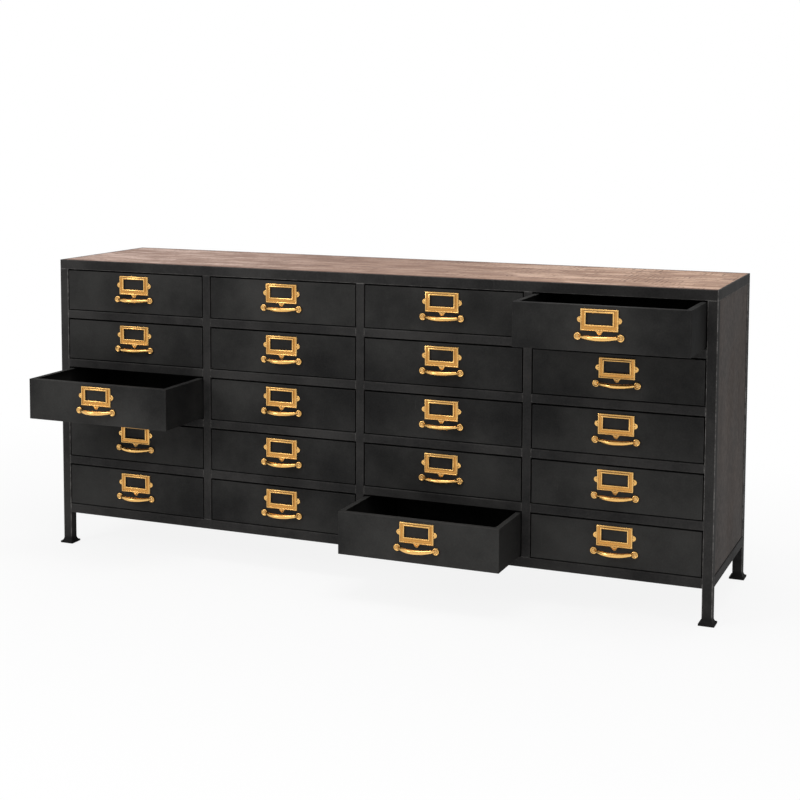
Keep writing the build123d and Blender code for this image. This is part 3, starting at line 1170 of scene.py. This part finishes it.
@dataclass
class Feet:
    """The four feet: a square plate with a hollow-sided flare that ends in the post."""

    plate_width: float = 0.0385
    plate: float = 0.0052
    plate_margin: float = 0.0026
    flare_steps: int = 6
    rounding: float = 0.0007

    def _foot(self, post: str) -> Piece:
        """Models one foot, whose flare ends at the lower end of its post.

        Args:
            post: Node of the post that it carries.

        Returns:
            The foot.
        """
        low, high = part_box(post)
        centre = (low + high) / 2
        post_width = high.x - low.x
        half = self.plate_width / 2
        foot = block(
            f"foot_{post}",
            (centre.x - half, centre.y - half, 0.0),
            (centre.x + half, centre.y + half, self.plate),
        )
        select_faces(foot, lambda middle, normal: normal.z > FACING_SHARE)
        bpy.ops.mesh.inset(thickness=self.plate_margin)
        width = self.plate_width - 2 * self.plate_margin
        flare = width - post_width
        rise = (low.z - self.plate) / self.flare_steps
        for step in range(1, self.flare_steps + 1):
            next_width = post_width + flare * (1.0 - step / self.flare_steps) ** 2
            bpy.ops.mesh.extrude_region_move(TRANSFORM_OT_translate={"value": (0.0, 0.0, rise)})
            ratio = next_width / width
            bpy.ops.transform.resize(value=(ratio, ratio, 1.0), center_override=(centre.x, centre.y, 0.0))
            width = next_width
        end_edit()
        soften(foot, self.rounding, segments=2, degrees=50.0)
        even_shading(foot, degrees=40.0)
        return foot

    def build(self, finishes: Finishes) -> None:
        """Models the feet as one piece that stands for their plain solid.

        Args:
            finishes: The chest's materials.
        """
        posts = [f"post_{along}_{across}" for along in ("front", "back") for across in ("left", "right")]
        feet = join([self._foot(post) for post in posts], "flared_feet")
        paint(feet, finishes.frame)
        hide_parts("foot_plates")
        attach(feet, "carcass")
        LOG.info("built %s", feet.name)


@dataclass(frozen=True)
class Tab:
    """A round tab on the edge of the label frame, blended into it by hollow corners.

    Its root is a point of the frame's edge, across and up, and outward is the way that it points.
    """

    root: Spot
    outward: tuple[int, int]
    radius: float
    stand: float
    hollow: float

    def along(self, out: float, aside: float = 0.0) -> Spot:
        """Returns the place that lies so far out from the root and to its side."""
        right, up = self.outward
        return self.root[0] + right * out + abs(up) * aside, self.root[1] + up * out + abs(right) * aside

    def outline(self) -> list[Spot]:
        """Returns the tab's edge: a hollow corner, the round of the tab and the other hollow corner."""
        reach = self.radius + self.hollow
        aside = math.sqrt(reach**2 - (self.hollow - self.stand) ** 2)
        meeting = math.atan2(aside, self.hollow - self.stand)
        first = arc((self.hollow, -aside), self.hollow, math.pi, math.pi - meeting)
        crown = arc((self.stand, 0.0), self.radius, -meeting, meeting)
        last = [(out, -side) for out, side in reversed(first)]
        return [self.along(out, side) for out, side in first[:-1] + crown + last[1:]]


@dataclass
class Fitting:
    """A drawer's brass: label holder with pins, and bow pull with screws. It is modelled once and copied."""

    drawer_height: float = 0.1065
    width: float = 0.0875
    height: float = 0.0495
    drop: float = 0.0079
    window_width: float = 0.0625
    window_height: float = 0.0272
    window_drop: float = 0.0085
    base: float = 0.0020
    lip: float = 0.0020
    lip_width: float = 0.0030
    channel: float = 0.0004
    bead: float = 0.0032
    bead_width: float = 0.0036
    rim_round: float = 0.0005
    lip_round: float = 0.0013
    channel_round: float = 0.0001
    bead_round: float = 0.0016
    sink: float = 0.0003
    ear_radius: float = 0.0066
    ear_stand: float = 0.0018
    ear_hollow: float = 0.0035
    lobe_radius: float = 0.0055
    lobe_stand: float = 0.0038
    lobe_hollow: float = 0.0080
    pocket: float = 0.0008
    pocket_round: float = 0.0002
    card_lap: float = 0.0020
    pin_radius: float = 0.0024
    pin_height: float = 0.0016
    pin_dome: float = 0.8
    pin_sides: int = 20
    pull_drop: float = 0.072
    lug_rise: float = 0.0010
    lug_spacing: float = 0.100
    lug_radius: float = 0.0084
    lug_height: float = 0.0046
    lug_rim: float = 0.0022
    lug_lip: float = 0.0007
    lug_dish: float = 0.0015
    lug_round: float = 0.0006
    lug_sides: int = 40
    reach: float = 0.0240
    bar_radius: float = 0.0054
    neck_radius: float = 0.0032
    swell_power: float = 0.7
    collar_radius: float = 0.0047
    collar_place: float = 0.075
    collar_width: float = 0.018
    collar_share: float = 0.9
    bar_end: float = 0.0452
    bar_end_reach: float = 0.0036
    bar_rings: int = 48
    bar_sides: int = 24
    screw_radius: float = 0.0036
    screw_height: float = 0.0022
    screw_round: float = 0.0005
    screw_sides: int = 32
    screw_stand: float = 0.0010
    slot_width: float = 0.0010
    slot_depth: float = 0.0008

    def __post_init__(self) -> None:
        """Works out heights above the drawer's underside, and the tabs of the holder."""
        self.top = self.drawer_height - self.drop
        self.middle = self.top - self.height / 2
        self.bottom = self.top - self.height
        self.window_top = self.top - self.window_drop
        self.window_bottom = self.window_top - self.window_height
        self.pull = self.drawer_height - self.pull_drop
        self.lug_level = self.pull + self.lug_rise
        half = self.width / 2
        self.tabs = (
            Tab((-half, self.middle), (-1, 0), self.ear_radius, self.ear_stand, self.ear_hollow),
            Tab((half, self.middle), (1, 0), self.ear_radius, self.ear_stand, self.ear_hollow),
            Tab((0.0, self.bottom), (0, -1), self.lobe_radius, self.lobe_stand, self.lobe_hollow),
        )

    @staticmethod
    def _hole(half: float, low: float, high: float) -> list[Spot]:
        """Returns an oblong's corners, in the turn that a hole has."""
        return [(half, high), (half, low), (-half, low), (-half, high)]

    def _window(self, margin: float) -> list[Spot]:
        """Returns the window's edge, moved outwards by a margin."""
        half = self.window_width / 2 + margin
        return self._hole(half, self.window_bottom - margin, self.window_top + margin)

    def _inner_edge(self, margin: float) -> list[Spot]:
        """Returns the holder's plain edge, moved inwards by a margin, as a hole."""
        return self._hole(self.width / 2 - margin, self.bottom + margin, self.top - margin)

    def _frame_edge(self, notch: list[Spot]) -> list[Spot]:
        """Draws the holder's edge with its tabs.

        Args:
            notch: Points of a notch in its top, from right to left.

        Returns:
            The edge, from its top right corner on.
        """
        half = self.width / 2
        left, right, lobe = (tab.outline() for tab in self.tabs)
        edge = [(half, self.top), *notch, (-half, self.top), *reversed(left)]
        return edge + [(-half, self.bottom), *lobe, (half, self.bottom), *right]

    def _holder(self) -> Piece:
        """Models the label frame in layers: card pocket, rim with tabs, channel, lip and bead.

        Returns:
            The label frame.
        """
        card_half = self.window_width / 2 + self.card_lap
        card_low = self.window_bottom - self.card_lap
        notch = [(card_half, self.top), (card_half, card_low), (-card_half, card_low), (-card_half, self.top)]
        window = self._window(self.sink)
        bead_edge = list(reversed(self._window(self.bead_width)))
        bead_hole = self._window(0.0)
        lip_edge = list(reversed(self._inner_edge(0.0)))
        lip_hole = self._inner_edge(self.lip_width)
        channel_edge = list(reversed(self._inner_edge(self.lip_width / 2)))
        under = self.base - self.sink
        deep = Handling.SHELTERED
        proud = Handling.RUBBED
        layers = (
            ("pocket", [self._frame_edge(notch)], 0.0, self.pocket, self.pocket_round, deep),
            ("rim", [self._frame_edge([]), window], self.pocket, self.base, self.rim_round, proud),
            ("channel", [channel_edge, window], under, self.base + self.channel, self.channel_round, deep),
            ("lip", [lip_edge, lip_hole], under, self.base + self.lip, self.lip_round, proud),
            ("bead", [bead_edge, bead_hole], self.pocket, self.base + self.bead, self.bead_round, proud),
        )
        plates = []
        for name, edges, back, face, rounding, handling in layers:
            plate = cut_plate(name, edges, back, face, rounding)
            even_shading(plate, degrees=35.0)
            mark_handled(plate, handling)
            plates.append(plate)
        return join(plates, "holder")

    def _pin(self, tab: Tab) -> Piece:
        """Models a domed pin head.

        Args:
            tab: The tab that it holds.

        Returns:
            The pin head.
        """
        x, z = tab.along(tab.stand)
        centre = (x, -self.base - self.pin_height / 2, z)
        pin = drum("pin", centre, self.pin_radius, self.pin_height, Facing.OUT, self.pin_sides)
        select_faces(pin, lambda middle, normal: normal.y < -FACING_SHARE)
        bpy.ops.mesh.bevel(offset=self.pin_height * self.pin_dome, segments=4, affect="EDGES")
        end_edit()
        smooth(pin, degrees=60.0)
        mark_handled(pin, Handling.POLISHED)
        return pin

    def _lug(self, x: float) -> Piece:
        """Models a turned lug: raised rim, dished face and a seat for its screw.

        Args:
            x: Its place across the drawer.

        Returns:
            The lug.
        """
        centre = (x, -self.lug_height / 2, self.lug_level)
        lug = drum("lug", centre, self.lug_radius, self.lug_height, Facing.OUT, self.lug_sides)
        select_faces(lug, lambda middle, normal: normal.y < -FACING_SHARE)
        bpy.ops.mesh.inset(thickness=self.lug_rim / 2)
        bpy.ops.transform.translate(value=(0.0, -self.lug_lip, 0.0))
        bpy.ops.mesh.inset(thickness=self.lug_rim / 2)
        bpy.ops.mesh.inset(thickness=self.lug_rim / 2)
        bpy.ops.transform.translate(value=(0.0, self.lug_dish, 0.0))
        end_edit()
        soften(lug, self.lug_round, segments=3, degrees=30.0)
        even_shading(lug, degrees=40.0)
        mark_handled(lug, Handling.RUBBED)
        return lug

    def _screw(self, x: float) -> Piece:
        """Models a slotted screw head in its lug.

        Args:
            x: Its place across the drawer.

        Returns:
            The screw head.
        """
        face = self.lug_height - self.lug_lip + self.screw_stand
        centre = (x, -face + self.screw_height / 2, self.lug_level)
        screw = drum("screw", centre, self.screw_radius, self.screw_height, Facing.OUT, self.screw_sides)
        soften(screw, self.screw_round, segments=2, degrees=50.0)
        half = self.slot_width / 2
        slot = block(
            "slot",
            (x - 2 * self.screw_radius, -face - self.slot_width, self.lug_level - half),
            (x + 2 * self.screw_radius, -face + self.slot_depth, self.lug_level + half),
        )
        cut_away(screw, slot)
        even_shading(screw, degrees=40.0)
        mark_handled(screw, Handling.TOUCHED)
        return screw

    def _girth(self, along: float) -> float:
        """Works out the bar's radius: necks, a collar by each lug and a swell in the middle.

        Args:
            along: Share of the bar's length, from its left end.

        Returns:
            The radius there.
        """
        from_end = min(along, 1.0 - along)
        bulge = max(math.sin(math.pi * along), 0.0) ** self.swell_power
        swell = self.neck_radius + (self.bar_radius - self.neck_radius) * bulge
        collar = math.exp(-(((from_end - self.collar_place) / self.collar_width) ** 2))
        return swell + (self.collar_radius - swell) * collar * self.collar_share

    def _bar(self) -> Piece:
        """Models the bowed bar between the lugs.

        Returns:
            The bar.
        """
        length = 1.0
        bar = drum("bar", (0.0, 0.0, 0.0), 1.0, length, Facing.ACROSS, self.bar_sides)
        select_edges(bar, lambda a, b: abs(a.x - b.x) > length / 2)
        bpy.ops.mesh.subdivide(number_cuts=self.bar_rings - 1)
        end_edit()
        rise = self.reach - self.bar_end_reach
        circle = (self.bar_end**2 + rise**2) / (2 * rise)
        sweep = math.asin(self.bar_end / circle)

        def bend(spot: Vector) -> Vector:
            """Carries a point of the straight blank to the bowed bar."""
            from_middle = 2 * spot.x / length
            girth = self._girth(spot.x / length + 0.5)
            angle = from_middle * sweep
            from_centre = circle - spot.y * girth
            return Vector((
                math.sin(angle) * from_centre,
                circle - self.reach - math.cos(angle) * from_centre,
                self.pull + self.lug_rise * from_middle**2 + spot.z * girth,
            ))

        reshape(bar, bend)
        clean(bar)
        smooth(bar, degrees=60.0)
        mark_handled(bar, Handling.POLISHED)
        return bar

    def master(self) -> Piece:
        """Models the whole fitting in the drawer's own place.

        Returns:
            The fitting, to be copied.
        """
        sides = (-self.lug_spacing / 2, self.lug_spacing / 2)
        parts = [self._holder(), self._bar()]
        parts += [self._pin(tab) for tab in self.tabs]
        parts += [self._lug(x) for x in sides]
        parts += [self._screw(x) for x in sides]
        return join(parts, "fitting_master")


@dataclass
class Drawers:
    """The twenty drawers and their brass."""

    frame: dict[str, Any]

    def build(self, finishes: Finishes) -> None:
        """Paints each drawer and puts a copy of the fitting on its front.

        Args:
            finishes: The chest's materials.
        """
        master = Fitting().master()
        for row in range(1, ROWS + 1):
            for column in range(1, COLUMNS + 1):
                place = f"r{row}c{column}"
                drawer = self.frame["nodes"][f"drawer_{place}"]
                paint(drawer, finishes.drawer)
                low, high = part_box(drawer.name)
                mesh = master.data.copy()
                mesh.name = f"fitting_{place}"
                mesh.transform(Matrix.Translation(((low.x + high.x) / 2, low.y, low.z)))
                fitting = bpy.data.objects.new(f"fitting_{place}", mesh)
                bpy.context.scene.collection.objects.link(fitting)
                paint(fitting, finishes.brass)
                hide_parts(f"pull_{place}")
                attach(fitting, drawer["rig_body"])
                LOG.info("built %s", fitting.name)
        bpy.data.objects.remove(master)


@dataclass(frozen=True)
class Softbox:
    """A rectangular soft light that points at a target."""

    name: str
    place: Point
    target: Point
    size: Spot
    power: float

    def hang(self) -> None:
        """Hangs the light in the studio."""
        lamp = bpy.data.lights.new(self.name, "AREA")
        lamp.shape = "RECTANGLE"
        lamp.size, lamp.size_y = self.size
        lamp.energy = self.power
        holder = bpy.data.objects.new(self.name, lamp)
        bpy.context.scene.collection.objects.link(holder)
        holder.location = self.place
        holder.rotation_euler = (Vector(self.target) - Vector(self.place)).to_track_quat("-Z", "Y").to_euler()


@dataclass
class Studio:
    """Pale floor, soft lights and the camera of the photograph."""

    floor_size: float = 60.0
    floor_colour: Colour = (0.90, 0.90, 0.90, 1.0)
    floor_roughness: float = 0.9
    floor_specular: float = 0.1
    white_shape: Point = (0.8, 1.4, 1.0)
    white_reach: Spot = (0.9, 2.4)
    white_near: float = 0.88
    overhead_range: Spot = (-0.1, 0.9)
    behind_range: Spot = (-0.8, 0.4)
    dark_side: float = 0.30
    bright_side: float = 0.60
    dark_shown: float = 0.48
    lights: tuple[Softbox, ...] = (
        Softbox("overhead", (0.4, -0.6, 3.4), target=(0.0, 0.0, 0.7), size=(2.2, 1.0), power=38.0),
        Softbox("from_right", (3.4, -0.9, 0.7), target=(0.3, 0.0, 0.3), size=(0.9, 1.0), power=4.5),
        Softbox("from_left", (-2.6, -3.2, 2.2), target=(-0.3, 0.0, 0.4), size=(1.0, 1.0), power=32.0),
    )
    camera_place: Point = (1.55405, -3.70031, 1.18773)
    camera_range: Spot = (0.05, 200.0)
    yaw: float = 0.39261
    pitch: float = 0.08168
    roll: float = -0.0036
    focal_pixels: float = 1525.025
    frame_pixels: float = 800.0
    sensor: float = 36.0
    shift_up: float = -0.2

    @staticmethod
    def _rays(bench: Bench) -> tuple[Socket, Socket]:
        """Sorts the rays that reach the floor or the surround.

        Args:
            bench: Bench of the floor's material or of the surround.

        Returns:
            Mask of the camera's own rays, and mask of all that show the surround: camera, gloss and glass.
        """
        path = bench.node("ShaderNodeLightPath").outputs
        shown = bench.plus(path["Is Camera Ray"], path["Is Glossy Ray"], clamp=True)
        return path["Is Camera Ray"], bench.plus(shown, path["Is Transmission Ray"], clamp=True)

    @staticmethod
    def _mix(bench: Bench, share: Socket, shaders: tuple[Any, Any], output: str) -> None:
        """Mixes two shaders and shows the result.

        Args:
            bench: Bench of the floor's material or of the surround.
            share: Share of the second shader.
            shaders: The two shader nodes.
            output: Name of the output node.
        """
        mix = bench.node("ShaderNodeMixShader")
        for socket, value in zip(mix.inputs, (share, *(shader.outputs[0] for shader in shaders))):
            bench.feed(socket, value)
        bench.feed(bench.tree.nodes[output].inputs["Surface"], mix.outputs[0])

    def _floor(self) -> None:
        """Makes the floor, which keeps a light shadow near the chest and fades to white."""
        clear_selection()
        bpy.ops.mesh.primitive_plane_add(size=self.floor_size, location=(0.0, 0.0, 0.0))
        floor = bpy.context.active_object
        floor.name = "studio_floor"
        material, bench, shader = new_material("studio_floor", self.floor_colour)
        shader.inputs["Base Color"].default_value = self.floor_colour
        shader.inputs["Roughness"].default_value = self.floor_roughness
        shader.inputs["Specular IOR Level"].default_value = self.floor_specular
        away = bench.vectors("LENGTH", bench.vectors("MULTIPLY", bench.spot(), self.white_shape)[0])["Value"]
        fade = bench.spread(away, *self.white_reach, self.white_near, 1.0)
        share = bench.times(self._rays(bench)[1], fade)
        white = bench.node("ShaderNodeEmission", None, Strength=1.0)
        self._mix(bench, share, (shader, white), "Material Output")
        paint(floor, material)

    def _world(self) -> None:
        """Makes a white surround that lights softly, and is darker behind the camera where metal shows it."""
        world = bpy.data.worlds.new("studio")
        bpy.context.scene.world = world
        world.use_nodes = True
        bench = Bench(world.node_tree)
        way = bench.axes(bench.node("ShaderNodeTexCoord").outputs["Generated"])
        overhead = bench.spread(way["Z"], *self.overhead_range)
        behind = bench.spread(way["Y"], *self.behind_range)
        level = bench.maths("MAXIMUM", overhead, behind)
        soft = world.node_tree.nodes["Background"]
        soft.inputs["Color"].default_value = WHITE
        bench.feed(soft.inputs["Strength"], bench.spread(level, 0.0, 1.0, self.dark_side, self.bright_side))
        camera_rays, shown = self._rays(bench)
        strength = bench.maths("MAXIMUM", camera_rays, bench.spread(level, 0.0, 1.0, self.dark_shown, 1.0))
        white = bench.node("ShaderNodeBackground", None, Color=WHITE, Strength=strength)
        self._mix(bench, shown, (soft, white), "World Output")

    def _camera(self) -> None:
        """Sets the camera where the photograph was taken."""
        lens = bpy.data.cameras.new("camera")
        lens.sensor_width = self.sensor
        lens.lens = self.focal_pixels / self.frame_pixels * self.sensor
        lens.shift_y = self.shift_up
        lens.clip_start, lens.clip_end = self.camera_range
        forward = Vector((
            -math.sin(self.yaw) * math.cos(self.pitch),
            math.cos(self.yaw) * math.cos(self.pitch),
            -math.sin(self.pitch),
        ))
        right = Vector((math.cos(self.yaw), math.sin(self.yaw), 0.0))
        down = forward.cross(right)
        leaning = math.cos(self.roll) * right + math.sin(self.roll) * down
        below = -math.sin(self.roll) * right + math.cos(self.roll) * down
        turn = Matrix((leaning, -below, -forward)).transposed().to_4x4()
        camera = bpy.data.objects.new("camera", lens)
        camera.matrix_world = Matrix.Translation(self.camera_place) @ turn
        bpy.context.scene.collection.objects.link(camera)
        bpy.context.scene.camera = camera

    def build(self) -> None:
        """Sets up the floor, the surround, the lights and the camera."""
        bpy.context.scene.view_settings.view_transform = "Standard"
        self._floor()
        self._world()
        for light in self.lights:
            light.hang()
        self._camera()
        LOG.info("set up the studio")


def main() -> None:
    """Builds the dressed chest and its studio."""
    logging.basicConfig(level=logging.INFO, format="%(name)s: %(message)s")
    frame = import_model()
    Studio().build()
    boards = BoardTop()
    finishes = Finishes(boards)
    Carcass(frame).dress(finishes)
    boards.build(finishes)
    Feet().build(finishes)
    Drawers(frame).build(finishes)
    clear_selection()
    LOG.info("wrote the sizes")


if __name__ == "__main__":
    main()
